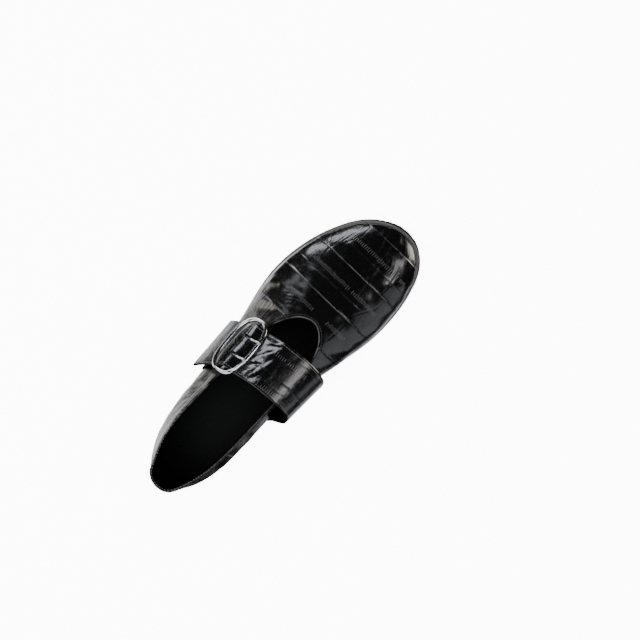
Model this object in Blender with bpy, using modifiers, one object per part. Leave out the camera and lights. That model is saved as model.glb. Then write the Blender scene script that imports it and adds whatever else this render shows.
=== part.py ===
"""A low leather flat with a wide buckled instep strap: the left shoe, empty, standing on its sole.

Design axes, in millimetres: x runs from the back of the sole to the toe, y to the outer side of
the left foot, z up from the floor. Meshes are written in metres and moved at the end so that the
bottom centre of the whole shoe is the origin.
"""
import functools
import math

import bmesh
import bpy
import numpy as np

MM = 0.001
GAP = 0.3

# Sole, heel and insole
LENGTH = 249.0
HEEL_HEIGHT = 10.5
HEEL_LENGTH = 58.0
HEEL_FLARE = 1.6
HEEL_INSET = 0.7
HEEL_STEPS = 12
SOLE_THICKNESS = 3.2
TREAD_START = 148.0
TREAD_END = 192.0
TOE_SPRING = 8.0
INSOLE_THICKNESS = 1.8
RIM_TOE = 1.8
RIM_HEEL = 0.8
RIM_CHANGE = (80.0, 160.0)
SOLE_EDGE = 0.6
HEEL_EDGE = 0.5

# Upper
WALL = 1.6
AROUND = 96
RINGS = 12
# The wall starts straight out of the sole and fans in to the collar where the collar is this far in
FAN_SPREAD = (8.0, 28.0)

# Strap, and the plane that it bends in
STRAP_WIDTH = 37.8
STRAP_THICKNESS = 1.8
STRAP_CREST = (125.1, 0.0, 66.0)
STRAP_YAW = math.radians(6.0)
STRAP_PITCH = math.radians(28.0)
STRAP_SLANT = math.tan(math.radians(3.2))
TAIL_SLANT = 0.2
FLARE_START = 32.0
FLARE = 0.0115
STRAP_STEPS = 48
STRAP_COLUMNS = 8

# Buckle, in its own plane: s runs outwards along the strap, n stands up from the frame
BUCKLE_PLACE = (25.4, -6.3)
BUCKLE_SHIFT = -0.3
BUCKLE_TILT = math.radians(33.0)
FRAME_HALF_LENGTH = 22.6
FRAME_HALF_WIDTH = 11.4
FRAME_WIRE = 1.5
FRAME_SQUARENESS = 2.7
FRAME_POINTS = 44
BAR_DROP = 1.6
BAR_RADIUS = 1.0
PRONG_RADIUS = 0.65
PRONG_SPREAD = 7.8
PRONG_POINTS = 26
PRONG_SHANK = ((4.0, 0.6), (8.0, 1.6))
PRONG_TIP = (1.4, -0.2)
# The prongs' slots: s from and to, n from and to
SLOT_WIDTH = 2.0
STRAP_SLOT = ((-8.0, 1.2), (-4.0, 6.0))
TAB_SLOT = ((-4.0, 3.4), (-6.0, 2.0))
TAB_WIDTH = 28.0
TAB_THICKNESS = 1.3
TAB_STEPS = 44
TAB_COLUMNS = 6

# The sole's edge from above: distance from the back, outer edge, inner edge
SOLE_PLAN = (
    (0.0, -4.0, -4.0),
    (3.5, 7.9, -15.6),
    (12.0, 16.6, -22.8),
    (30.0, 23.9, -27.6),
    (58.0, 29.0, -27.2),
    (85.0, 31.9, -25.2),
    (108.0, 36.6, -25.4),
    (132.0, 42.9, -30.7),
    (155.0, 47.7, -35.6),
    (172.0, 48.2, -37.8),
    (190.0, 46.0, -37.9),
    (208.0, 41.0, -35.7),
    (224.0, 33.7, -31.2),
    (237.0, 24.0, -24.3),
    (246.0, 11.4, -13.9),
    (249.0, -1.4, -1.4),
)

# The upper: a row for each place along the sole's edge. top_x, outer, inner and top_z place the
# collar there; lean and rise (degrees, mm) start the wall at the sole, and slope and reach
# (degrees below level, mm) bring it to the collar.
UPPER_COLUMNS = ("x", "top_x", "outer", "inner", "top_z", "lean", "rise", "slope", "reach")
UPPER_ROWS = (
    (0.0, 2.5, -4.3, -4.3, 64.0, 12.0, 22.0, 84.0, 20.0),
    (4.0, 5.4, 4.6, -13.3, 63.2, 12.5, 21.5, 84.0, 19.5),
    (16.0, 14.0, 10.3, -18.2, 60.0, 14.0, 20.0, 82.0, 18.0),
    (34.0, 30.5, 17.6, -22.9, 53.0, 16.0, 18.0, 80.0, 16.0),
    (60.0, 58.0, 21.0, -23.8, 46.5, 20.0, 17.0, 78.0, 13.0),
    (90.0, 86.0, 21.6, -22.5, 43.0, 20.0, 16.0, 76.0, 12.0),
    (115.0, 108.0, 22.0, -21.6, 43.0, 17.0, 16.0, 70.0, 13.0),
    (140.0, 127.0, 22.0, -20.8, 45.0, 13.0, 18.0, 60.0, 15.0),
    (165.0, 142.5, 19.8, -17.9, 47.2, 11.0, 20.0, 48.0, 20.0),
    (190.0, 152.0, 15.6, -14.3, 48.6, 10.0, 20.0, 36.0, 28.0),
    (215.0, 158.4, 10.8, -9.4, 49.3, 9.0, 20.0, 26.0, 37.0),
    (236.0, 161.7, 6.0, -4.6, 49.5, 8.0, 20.0, 18.0, 46.0),
    (249.0, 162.8, 0.7, 0.7, 49.5, 8.0, 20.0, 15.0, 50.0),
)

# The strap's free part from the inner side to the buckle: outwards and up from the crest, and how
# far each line moves outwards for its place along the strap's width
STRAP_ROUTE = (
    (-33.0, -42.0, -0.09),
    (-34.2, -32.0, -0.09),
    (-32.4, -19.5, -0.09),
    (-26.5, -9.5, -0.06),
    (-17.0, -3.4, -0.03),
    (-6.0, -0.6, 0.0),
    (4.0, 0.1, 0.0),
)
# Through the buckle and on to the tail, in the buckle's own s and n
STRAP_IN_BUCKLE = ((-11.4, -3.7), (-5.3, -0.1), (0.0, 2.3), (5.3, -0.1), (11.4, -3.7), (20.0, -8.0),
                   (31.0, -16.2))
# The tab: its folded-in end, the turn round the bar (added below), and the way down to the wall
TAB_INNER = ((8.0, -8.4), (5.5, -5.8), (3.2, -4.0))
TAB_OUTER = ((2.0, -0.45), (4.0, -2.1), (6.5, -4.6), (9.5, -7.8))
TAB_ROUTE = ((32.8, -26.0), (35.7, -38.0))
# Where a band lies on the upper's wall: heights above the sole, the stretch of wall that is looked
# at, a first guess of the place (across, up), and the room left between band and wall
WALL_SEAT = (10.0, 5.0, 0.0)
WALL_SPAN = (60.0, 160.0)
SEAT_GUESS = (30.0, -58.0)
SEAT_TRIES = 4
SEAT_ROOM = GAP + 0.15

PARTS = bpy.data.collections.new("strap_flat")
CUTTERS = bpy.data.collections.new("strap_flat_cutters")


def clear_scene():
    for thing in list(bpy.data.objects):
        bpy.data.objects.remove(thing, do_unlink=True)
    bpy.context.scene.collection.children.link(PARTS)
    bpy.context.scene.collection.children.link(CUTTERS)


def material(name, colour, roughness, metallic=0.0):
    made = bpy.data.materials.new(name)
    made.use_nodes = True
    shader = made.node_tree.nodes["Principled BSDF"]
    shader.inputs["Base Color"].default_value = (*colour, 1.0)
    shader.inputs["Roughness"].default_value = roughness
    shader.inputs["Metallic"].default_value = metallic
    return made


def mesh_object(name, points, faces, finish, collection=PARTS):
    """An object from points in millimetres, with its faces turned outwards."""
    mesh = bpy.data.meshes.new(name)
    mesh.from_pydata([tuple(MM * c for c in p) for p in points], [], faces)
    work = bmesh.new()
    work.from_mesh(mesh)
    bmesh.ops.recalc_face_normals(work, faces=work.faces)
    work.to_mesh(mesh)
    work.free()
    mesh.shade_smooth()
    mesh.set_sharp_from_angle(angle=math.radians(40.0))
    thing = bpy.data.objects.new(name, mesh)
    if finish:
        mesh.materials.append(finish)
    collection.objects.link(thing)
    return thing


def solidify(thing, thickness, offset):
    shell = thing.modifiers.new("thickness", "SOLIDIFY")
    shell.thickness = MM * thickness
    shell.offset = offset
    shell.use_even_offset = True


def bevel(thing, width):
    edge = thing.modifiers.new("edges", "BEVEL")
    edge.width = MM * width
    edge.segments = 2
    edge.limit_method = "ANGLE"
    edge.angle_limit = math.radians(50.0)


def boolean(thing, other, operation):
    cut = thing.modifiers.new(operation.lower(), "BOOLEAN")
    cut.operation = operation
    cut.solver = "EXACT"
    cut.object = other
    other.hide_render = True
    other.display_type = "WIRE"


def closed_spline(knots, values):
    """A smooth closed curve through values at the given angles, as a function of the angle."""
    knots = np.array(knots)
    values = np.array(values)
    count = len(knots)
    step = np.diff(np.append(knots, knots[0] + 2 * math.pi))
    rise = np.diff(np.append(values, values[0])) / step
    rows = np.zeros((count, count))
    for i in range(count):
        rows[i, i - 1] += step[i - 1]
        rows[i, i] += 2 * (step[i - 1] + step[i])
        rows[i, (i + 1) % count] += step[i]
    bend = np.linalg.solve(rows, 6 * (rise - np.roll(rise, 1)))

    def value(angle):
        angle = angle % (2 * math.pi)
        i = int(np.searchsorted(knots, angle, side="right")) - 1
        j = (i + 1) % count
        u = angle - knots[i]
        w = step[i] - u
        cubic = (bend[i] * w**3 + bend[j] * u**3) / (6 * step[i])
        straight = (values[i] / step[i] - bend[i] * step[i] / 6) * w
        return cubic + straight + (values[j] / step[i] - bend[j] * step[i] / 6) * u

    return value


def open_spline(points, count):
    """Evenly spaced points on a smooth curve through the given points, with free ends."""
    points = np.array(points, dtype=float)
    chord = np.linalg.norm(np.diff(points, axis=0), axis=1)
    knots = np.append(0.0, np.cumsum(chord))
    size = len(points)
    rows = np.eye(size)
    right = np.zeros_like(points)
    slope = np.diff(points, axis=0) / chord[:, None]
    for i in range(1, size - 1):
        rows[i, i - 1:i + 2] = (chord[i - 1], 2 * (chord[i - 1] + chord[i]), chord[i])
        right[i] = 6 * (slope[i] - slope[i - 1])
    bend = np.linalg.solve(rows, right)
    out = []
    for place in np.linspace(0.0, knots[-1], count):
        i = min(int(np.searchsorted(knots, place, side="right")) - 1, size - 2)
        u = place - knots[i]
        w = chord[i] - u
        cubic = (bend[i] * w**3 + bend[i + 1] * u**3) / (6 * chord[i])
        out.append(cubic + (points[i] / chord[i] - bend[i] * chord[i] / 6) * w
                   + (points[i + 1] / chord[i] - bend[i + 1] * chord[i] / 6) * u)
    return np.array(out)


# The sole's side profile and plan
def underside(x):
    """Height of the sole's underside: heel seat, arch, flat tread and toe spring."""
    if x < HEEL_LENGTH:
        return HEEL_HEIGHT
    if x < TREAD_START:
        part = (x - HEEL_LENGTH) / (TREAD_START - HEEL_LENGTH)
        return HEEL_HEIGHT * 0.5 * (1 + math.cos(math.pi * part))
    if x < TREAD_END:
        return 0.0
    return TOE_SPRING * ((x - TREAD_END) / (LENGTH - TREAD_END)) ** 2


def seat(x):
    """Height of the sole's top face."""
    slope = (underside(x + 0.5) - underside(x - 0.5))
    return underside(x) + SOLE_THICKNESS * math.hypot(1.0, slope)


def angle_at(x):
    """The angle round the sole, 0 at the back and pi at the toe, on the outer side."""
    return math.acos(1 - 2 * min(max(x / LENGTH, 0.0), 1.0))


def both_sides(rows, outer, inner):
    """A closed spline through the outer column going forwards and the inner one coming back."""
    knots = [angle_at(row[0]) for row in rows]
    knots += [2 * math.pi - angle_at(row[0]) for row in rows[-2:0:-1]]
    values = [row[outer] for row in rows] + [row[inner] for row in rows[-2:0:-1]]
    return closed_spline(knots, values)


EDGE_Y = both_sides(SOLE_PLAN, 1, 2)


def edge(angle):
    return np.array((LENGTH / 2 * (1 - math.cos(angle)), EDGE_Y(angle)))


def outward(angle):
    """Unit direction away from the sole, in plan."""
    along = edge(angle + 0.01) - edge(angle - 0.01)
    return np.array((-along[1], along[0])) / np.linalg.norm(along)


def rim(x):
    """How far the sole stands out past the upper."""
    start, end = RIM_CHANGE
    part = min(max((x - start) / (end - start), 0.0), 1.0)
    return RIM_HEEL + (RIM_TOE - RIM_HEEL) * part * part * (3 - 2 * part)


def inset_edge(angle, extra=0.0):
    point = edge(angle)
    return point - outward(angle) * (rim(point[0]) + extra)


def slab(name, outline, height, finish):
    """A sheet across the shoe from edge to edge, bent to the sole's side profile."""
    half = AROUND // 2
    points = []
    for i in range(AROUND):
        x, y = outline(2 * math.pi * i / AROUND)
        points.append((x, y, height(x)))
    faces = [(0, 1, AROUND - 1), (half - 1, half, half + 1)]
    for i in range(1, half - 1):
        faces.append((i, i + 1, AROUND - i - 1, AROUND - i))
    thing = mesh_object(name, points, faces, finish)
    if thing.data.polygons[0].normal.z < 0:
        thing.data.flip_normals()
    return thing


def outsole(finish):
    sole = slab("outsole", edge, underside, finish)
    solidify(sole, SOLE_THICKNESS, 1.0)
    bevel(sole, SOLE_EDGE)


def insole(finish):
    sheet = slab("insole", lambda angle: inset_edge(angle, WALL + GAP), lambda x: seat(x) + GAP, finish)
    solidify(sheet, INSOLE_THICKNESS, 1.0)


def heel(finish):
    """A low block under the heel seat, flared at the back and straight across its front."""
    last = angle_at(HEEL_LENGTH)
    rows = []
    for height, flare in ((0.0, HEEL_FLARE), (HEEL_HEIGHT - GAP, 0.0)):
        for i in range(-HEEL_STEPS, HEEL_STEPS + 1):
            angle = last * i / HEEL_STEPS
            point = edge(angle)
            fade = 1 - point[0] / HEEL_LENGTH
            x, y = point + outward(angle) * (flare * fade - HEEL_INSET)
            rows.append((min(x, HEEL_LENGTH), y, height))
    count = 2 * HEEL_STEPS + 1
    faces = [tuple(range(count)), tuple(range(count, 2 * count))]
    for i in range(count):
        j = (i + 1) % count
        faces.append((i, j, count + j, count + i))
    block = mesh_object("heel", rows, faces, finish)
    bevel(block, HEEL_EDGE)


# The upper
UPPER = {name: both_sides(UPPER_ROWS, i, i) for i, name in enumerate(UPPER_COLUMNS)}
COLLAR_Y = both_sides(UPPER_ROWS, UPPER_COLUMNS.index("outer"), UPPER_COLUMNS.index("inner"))


def upper_point(angle, part):
    """The outer face of the upper: part 0 is at the sole, part 1 at the collar."""
    x, y = inset_edge(angle)
    foot = np.array((x, y, seat(x) + GAP))
    top = np.array((UPPER["top_x"](angle), COLLAR_Y(angle), UPPER["top_z"](angle)))
    out = outward(angle)
    fan = foot[:2] - top[:2]
    spread = np.linalg.norm(fan)
    near, far = FAN_SPREAD
    share = min(max((spread - near) / (far - near), 0.0), 1.0)
    fan = out * (1 - share) + fan / spread * share
    fan = fan / np.linalg.norm(fan)
    lean = math.radians(UPPER["lean"](angle))
    slope = math.radians(UPPER["slope"](angle))
    start = np.array((*(out * math.sin(lean)), math.cos(lean))) * UPPER["rise"](angle)
    finish = np.array((*(fan * math.cos(slope)), -math.sin(slope))) * UPPER["reach"](angle)
    back = 1 - part
    return (foot * back**3 + 3 * (foot + start) * back**2 * part
            + 3 * (top + finish) * back * part**2 + top * part**3)


def upper(finish):
    points = []
    for ring in range(RINGS + 1):
        for i in range(AROUND):
            points.append(upper_point(2 * math.pi * i / AROUND, ring / RINGS))
    faces = []
    for ring in range(RINGS):
        for i in range(AROUND):
            j = (i + 1) % AROUND
            low, high = ring * AROUND, (ring + 1) * AROUND
            faces.append((low + i, low + j, high + j, high + i))
    shell = mesh_object("upper", points, faces, finish)
    if shell.data.polygons[AROUND * 3].normal.x > 0:
        shell.data.flip_normals()
    solidify(shell, WALL, -1.0)


@functools.cache
def wall_lines(side):
    """Lines along the upper's outer face beside the strap, from the sole up to the collar."""
    start, end = WALL_SPAN
    angles = np.linspace(angle_at(start), angle_at(end), 40)
    if side < 0:
        angles = 2 * math.pi - angles
    return [np.array([upper_point(a, part) for a in angles]) for part in np.linspace(0.0, 1.0, 21)]


def wall_y(x, z, side):
    """Where the upper's outer face lies at a place along the shoe and a height."""
    heights = [np.interp(x, line[:, 0], line[:, 2]) for line in wall_lines(side)]
    widths = [np.interp(x, line[:, 0], line[:, 1]) for line in wall_lines(side)]
    return float(np.interp(z, heights, widths))


# The strap's own axes: across to the outer side, forwards along its width, and up
ACROSS = np.array((-math.sin(STRAP_YAW), math.cos(STRAP_YAW), 0.0))
LEVEL = np.array((math.cos(STRAP_YAW), math.sin(STRAP_YAW), 0.0))
FORWARD = LEVEL * math.cos(STRAP_PITCH) - np.array((0.0, 0.0, math.sin(STRAP_PITCH)))
RISE = LEVEL * math.sin(STRAP_PITCH) + np.array((0.0, 0.0, math.cos(STRAP_PITCH)))


def strap_place(a, b, e):
    return np.array(STRAP_CREST) + ACROSS * a + RISE * b + FORWARD * e


def band_place(a, b, e):
    """A point on a leather band, which runs a little askew and widens past the buckle."""
    wider = 1 + FLARE * max(a - FLARE_START, 0.0)
    askew = STRAP_SLANT * a + TAIL_SLANT * max(a - BUCKLE_PLACE[0], 0.0)
    return strap_place(a, b, e * wider - askew)


def buckle_point(s, n, e):
    """A point in the buckle's own axes."""
    return strap_place(*in_buckle(s, n), e + BUCKLE_SHIFT - STRAP_SLANT * BUCKLE_PLACE[0])


def in_buckle(s, n):
    """From the buckle's own plane to the strap's across and up."""
    a, b = BUCKLE_PLACE
    cos, sin = math.cos(BUCKLE_TILT), math.sin(BUCKLE_TILT)
    return a + s * cos + n * sin, b - s * sin + n * cos


def frame_share(e):
    """How much of its full half width the oval frame still has at a place along it."""
    return (1 - abs(e / FRAME_HALF_LENGTH) ** FRAME_SQUARENESS) ** (1 / FRAME_SQUARENESS)


def wall_seat(e, side, thickness):
    """The strap's lowest points for one line along it, lying against the upper's wall."""
    seats = []
    for lift in WALL_SEAT:
        a = side * SEAT_GUESS[0]
        b = SEAT_GUESS[1]
        for _ in range(SEAT_TRIES):
            place = band_place(a, b, e)
            z = seat(place[0]) + GAP + lift
            b += (z - place[2]) / RISE[2]
            place = band_place(a, b, e)
            y = wall_y(place[0], z, side) + side * (SEAT_ROOM + thickness / 2)
            a += (y - place[1]) / ACROSS[1]
        seats.append((a, b))
    return seats


def band(name, width, columns, steps, route, thickness, finish):
    """A leather band: one curve for each line along it, given its thickness both ways."""
    points = []
    for column in range(columns + 1):
        e = width * (column / columns - 0.5)
        for a, b in open_spline(route(e), steps + 1):
            points.append(band_place(a, b, e))
    faces = []
    for column in range(columns):
        for i in range(steps):
            low = column * (steps + 1) + i
            high = low + steps + 1
            faces.append((low, low + 1, high + 1, high))
    sheet = mesh_object(name, points, faces, finish)
    solidify(sheet, thickness, 0.0)
    return sheet


def slot_cutter(name, s_range, n_range, e):
    """A box in the buckle's axes that makes way for a prong."""
    corners = []
    for s in s_range:
        for n in n_range:
            for side in (-0.5, 0.5):
                corners.append(buckle_point(s, n, e + side * SLOT_WIDTH))
    faces = [(0, 1, 3, 2), (4, 6, 7, 5), (0, 4, 5, 1), (2, 3, 7, 6), (0, 2, 6, 4), (1, 5, 7, 3)]
    return mesh_object(name, corners, faces, None, CUTTERS)


def strap(finish):
    tail_end = STRAP_IN_BUCKLE[-1][0]

    def route(e):
        low = wall_seat(e, -1, STRAP_THICKNESS)[::-1]
        tuck = FRAME_HALF_WIDTH * (frame_share(e) - 1)
        inside = []
        for s, n in STRAP_IN_BUCKLE:
            past_frame = max(0.0, s - FRAME_HALF_WIDTH) / (tail_end - FRAME_HALF_WIDTH)
            shift = tuck * max(-1.0, min(1.0, s / FRAME_HALF_WIDTH)) * (1 - past_frame)
            inside.append(in_buckle(s + shift, n))
        return low + [(a + twist * e, b) for a, b, twist in STRAP_ROUTE] + inside

    sheet = band("strap", STRAP_WIDTH, STRAP_COLUMNS, STRAP_STEPS, route, STRAP_THICKNESS, finish)
    for name, e in (("front", PRONG_SPREAD), ("back", -PRONG_SPREAD)):
        boolean(sheet, slot_cutter("strap_slot_" + name, *STRAP_SLOT, e), "DIFFERENCE")


def buckle_tab(finish):
    turn = BAR_RADIUS + GAP + TAB_THICKNESS / 2
    loop = []
    for degrees in (-90.0, -135.0, -180.0, -225.0, -270.0):
        angle = math.radians(degrees)
        loop.append((turn * math.cos(angle), turn * math.sin(angle) - BAR_DROP))

    def route(e):
        near = [in_buckle(s, n) for s, n in TAB_INNER + tuple(loop) + TAB_OUTER]
        return near + list(TAB_ROUTE) + wall_seat(e, 1, TAB_THICKNESS)

    sheet = band("buckle_tab", TAB_WIDTH, TAB_COLUMNS, TAB_STEPS, route, TAB_THICKNESS, finish)
    for name, e in (("front", PRONG_SPREAD), ("back", -PRONG_SPREAD)):
        boolean(sheet, slot_cutter("tab_slot_" + name, *TAB_SLOT, e), "DIFFERENCE")


def wire(name, points, radius, closed, finish):
    """A round wire along points, made a mesh with its ends closed."""
    curve = bpy.data.curves.new(name, "CURVE")
    curve.dimensions = "3D"
    curve.bevel_depth = MM * radius
    curve.bevel_resolution = 2
    curve.use_fill_caps = True
    line = curve.splines.new("POLY")
    line.points.add(len(points) - 1)
    for knot, place in zip(line.points, points):
        knot.co = (*(MM * c for c in place), 1.0)
    line.use_cyclic_u = closed
    guide = bpy.data.objects.new(name + "_guide", curve)
    PARTS.objects.link(guide)
    ready = guide.evaluated_get(bpy.context.evaluated_depsgraph_get())
    mesh = bpy.data.meshes.new_from_object(ready)
    bpy.data.objects.remove(guide, do_unlink=True)
    work = bmesh.new()
    work.from_mesh(mesh)
    bmesh.ops.remove_doubles(work, verts=work.verts, dist=0.00001)
    bmesh.ops.recalc_face_normals(work, faces=work.faces)
    work.to_mesh(mesh)
    work.free()
    mesh.materials.clear()
    mesh.materials.append(finish)
    mesh.shade_smooth()
    mesh.set_sharp_from_angle(angle=math.radians(50.0))
    thing = bpy.data.objects.new(name, mesh)
    PARTS.objects.link(thing)
    return thing


def buckle(finish):
    """An oval wire frame with a bar across its middle, joined into one piece."""
    ring = []
    for i in range(FRAME_POINTS):
        angle = 2 * math.pi * i / FRAME_POINTS
        cos, sin = math.cos(angle), math.sin(angle)
        power = 2 / FRAME_SQUARENESS
        e = FRAME_HALF_LENGTH * math.copysign(abs(cos) ** power, cos)
        s = FRAME_HALF_WIDTH * math.copysign(abs(sin) ** power, sin)
        ring.append(buckle_point(s, 0.0, e))
    frame = wire("buckle", ring, FRAME_WIRE, True, finish)
    ends = [buckle_point(0.0, -BAR_DROP, side * FRAME_HALF_LENGTH) for side in (-1, 1)]
    bar = wire("buckle_bar", ends, BAR_RADIUS, False, finish)
    PARTS.objects.unlink(bar)
    CUTTERS.objects.link(bar)
    boolean(frame, bar, "UNION")


def prongs(finish):
    """Two small hooks on the bar, up through the strap and over the frame's inner side."""
    turn = BAR_RADIUS + GAP + PRONG_RADIUS
    hook = []
    for degrees in range(-50, -275, -25):
        angle = math.radians(degrees)
        hook.append((turn * math.cos(angle), turn * math.sin(angle) - BAR_DROP))
    rest = FRAME_WIRE + GAP + PRONG_RADIUS
    over = (FRAME_HALF_WIDTH, rest)
    tip = (FRAME_HALF_WIDTH + PRONG_TIP[0], rest + PRONG_TIP[1])
    path = open_spline(hook + list(PRONG_SHANK) + [over, tip], PRONG_POINTS)
    for name, e in (("prong_front", PRONG_SPREAD), ("prong_back", -PRONG_SPREAD)):
        wire(name, [buckle_point(-m, n, e) for m, n in path], PRONG_RADIUS, False, finish)


def stand_on_origin():
    """Move every piece so that the bottom centre of the whole shoe is the origin."""
    bpy.context.view_layer.update()
    graph = bpy.context.evaluated_depsgraph_get()
    corners = []
    for thing in PARTS.objects:
        ready = thing.evaluated_get(graph)
        corners += [ready.matrix_world @ v.co for v in ready.data.vertices]
    corners = np.array(corners)
    low, high = corners.min(axis=0), corners.max(axis=0)
    for thing in list(PARTS.objects) + list(CUTTERS.objects):
        thing.location.x -= (low[0] + high[0]) / 2
        thing.location.y -= (low[1] + high[1]) / 2
        thing.location.z -= low[2]


def main():
    clear_scene()
    leather = material("black_leather", (0.008, 0.008, 0.009), 0.25)
    lining = material("black_lining", (0.012, 0.012, 0.013), 0.7)
    rubber = material("black_sole", (0.014, 0.013, 0.013), 0.5)
    silver = material("polished_silver", (0.75, 0.75, 0.76), 0.12, 1.0)
    outsole(rubber)
    heel(rubber)
    insole(lining)
    upper(leather)
    strap(leather)
    buckle_tab(leather)
    buckle(silver)
    prongs(silver)
    stand_on_origin()


main()
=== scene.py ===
# %% [markdown]
# This lesson dresses a low black flat with a wide buckled strap. The frame that is loaded here holds
# the shoe's solids at their real size and place. Nothing in the frame moves: each solid gets a
# finely modelled piece in its place, and each piece gets a finish made of shader nodes.
# %% Load the solids
import math

import bpy
import numpy as np
from mathutils import Matrix, Vector
from mathutils.bvhtree import BVHTree


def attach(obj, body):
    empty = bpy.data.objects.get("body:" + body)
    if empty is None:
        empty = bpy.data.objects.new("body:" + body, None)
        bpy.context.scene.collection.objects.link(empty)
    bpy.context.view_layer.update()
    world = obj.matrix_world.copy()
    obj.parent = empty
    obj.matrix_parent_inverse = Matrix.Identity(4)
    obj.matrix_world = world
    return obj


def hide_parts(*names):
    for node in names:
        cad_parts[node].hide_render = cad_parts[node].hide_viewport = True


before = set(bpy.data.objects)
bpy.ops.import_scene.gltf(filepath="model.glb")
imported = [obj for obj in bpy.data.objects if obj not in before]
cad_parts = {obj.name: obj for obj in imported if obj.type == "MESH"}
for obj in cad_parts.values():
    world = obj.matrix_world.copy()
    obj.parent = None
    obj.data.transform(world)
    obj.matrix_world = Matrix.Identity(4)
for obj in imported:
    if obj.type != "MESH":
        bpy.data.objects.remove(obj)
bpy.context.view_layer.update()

MM = 0.001
print("solids:", ", ".join(sorted(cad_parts)))

# %% [markdown]
# The photograph looks down on the shoe from almost straight above, and the shoe lies askew in it.
# A camera is set by a direction and a roll: it leans a little towards the toe, and rolls until the
# toe points to the upper right. The lens follows from how many pixels one metre takes.
# %% Camera
LEAN_TO_TOE = math.radians(12.0)
LEAN_TO_OUTER_SIDE = math.radians(1.0)
ROLL = math.radians(44.0)
LOOK_AT = Vector((40.5, -6.35, 30.0)) * MM
LOOK_DISTANCE = 1.0
PICTURE_PIXELS = 640
PIXELS_PER_METRE = 1422.5
SENSOR_WIDTH = 36.0


def add_camera():
    to_camera = Vector((math.sin(LEAN_TO_TOE) * math.cos(LEAN_TO_OUTER_SIDE), math.sin(LEAN_TO_OUTER_SIDE),
                        math.cos(LEAN_TO_TOE) * math.cos(LEAN_TO_OUTER_SIDE)))
    toe_way = Vector((1.0, 0.0, 0.0))
    toe_way = (toe_way - to_camera * toe_way.dot(to_camera)).normalized()
    side_way = to_camera.cross(toe_way)
    right = toe_way * math.cos(ROLL) - side_way * math.sin(ROLL)
    up = toe_way * math.sin(ROLL) + side_way * math.cos(ROLL)
    bpy.ops.object.camera_add()
    camera = bpy.context.object
    turn = Matrix((right, up, to_camera)).transposed().to_4x4()
    camera.matrix_world = Matrix.Translation(LOOK_AT + to_camera * LOOK_DISTANCE) @ turn
    camera.data.sensor_width = SENSOR_WIDTH
    camera.data.lens = PIXELS_PER_METRE * LOOK_DISTANCE * SENSOR_WIDTH / PICTURE_PIXELS
    bpy.context.scene.camera = camera
    return camera


print("lens in mm:", round(add_camera().data.lens, 1))

# %% [markdown]
# The ground is a plain white sweep. It glows to the eye, so that no grey shows in it, but the leather
# doesn't mirror it: the leather sees a dark room with a pale floor, as under a studio's black cloth.
# %% Floor and surroundings
FLOOR_SIZE = 9.0
FLOOR_DROP = 0.2 * MM
FLOOR_COLOUR = (0.9, 0.9, 0.9)
FLOOR_ROUGHNESS = 0.9
FLOOR_GLOW = 10.0
ROOM_DARK = 0.012
ROOM_FLOOR = 0.9
ROOM_FLOOR_END = (0.025, 0.06)


def feed(tree, slot, value):
    """Gives a socket a number, or a link from another socket."""
    if isinstance(value, (int, float)):
        slot.default_value = value
    else:
        tree.links.new(value, slot)


def calc(tree, kind, *values):
    """One Math node; each value is a socket or a number."""
    node = tree.nodes.new("ShaderNodeMath")
    node.operation = kind
    for slot, value in zip(node.inputs, values):
        feed(tree, slot, value)
    return node.outputs["Value"]


def colour_mix(tree, value):
    """A mix of two colours by a value from 0 to 1: sockets of both colours and of the result."""
    mix = tree.nodes.new("ShaderNodeMix")
    mix.data_type = "RGBA"
    tree.links.new(value, mix.inputs["Factor"])
    first, second = [slot for slot in mix.inputs if slot.type == "RGBA"]
    return first, second, [slot for slot in mix.outputs if slot.type == "RGBA"][0]


def plain_material(name, colour, roughness, metallic=0.0):
    """A new material with one Principled shader, and that shader."""
    made = bpy.data.materials.new(name)
    made.use_nodes = True
    shader = made.node_tree.nodes["Principled BSDF"]
    shader.inputs["Base Color"].default_value = (*colour, 1.0)
    shader.inputs["Roughness"].default_value = roughness
    shader.inputs["Metallic"].default_value = metallic
    return made, shader


def add_floor():
    bpy.ops.object.select_all(action="DESELECT")
    bpy.ops.mesh.primitive_plane_add(size=FLOOR_SIZE, location=(0.0, 0.0, -FLOOR_DROP))
    floor = bpy.context.object
    floor.name = "floor"
    floor.visible_glossy = False
    floor.visible_shadow = False
    finish, shader = plain_material("white_sweep", FLOOR_COLOUR, FLOOR_ROUGHNESS)
    shader.inputs["Specular IOR Level"].default_value = 0.0
    shader.inputs["Emission Color"].default_value = (1.0, 1.0, 1.0, 1.0)
    tree = finish.node_tree
    eye = tree.nodes.new("ShaderNodeLightPath")
    glow = calc(tree, "MULTIPLY", eye.outputs["Is Camera Ray"], FLOOR_GLOW)
    tree.links.new(glow, shader.inputs["Emission Strength"])
    floor.data.materials.append(finish)


def add_surroundings():
    """White to the eye; to everything else a dark room over a white floor."""
    world = bpy.data.worlds.new("studio")
    world.use_nodes = True
    bpy.context.scene.world = world
    tree = world.node_tree
    where = tree.nodes.new("ShaderNodeTexCoord")
    split = tree.nodes.new("ShaderNodeSeparateXYZ")
    tree.links.new(where.outputs["Generated"], split.inputs["Vector"])
    room = tree.nodes.new("ShaderNodeValToRGB")
    for stop, place, shade in zip(room.color_ramp.elements, ROOM_FLOOR_END, (ROOM_FLOOR, ROOM_DARK)):
        stop.position = place
        stop.color = (shade, shade, shade, 1.0)
    tree.links.new(calc(tree, "MULTIPLY_ADD", split.outputs["Z"], 0.5, 0.5), room.inputs["Fac"])
    eye = tree.nodes.new("ShaderNodeLightPath")
    dark, white, result = colour_mix(tree, eye.outputs["Is Camera Ray"])
    tree.links.new(room.outputs["Color"], dark)
    white.default_value = (FLOOR_GLOW, FLOOR_GLOW, FLOOR_GLOW, 1.0)
    tree.links.new(result, tree.nodes["Background"].inputs["Color"])


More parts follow.
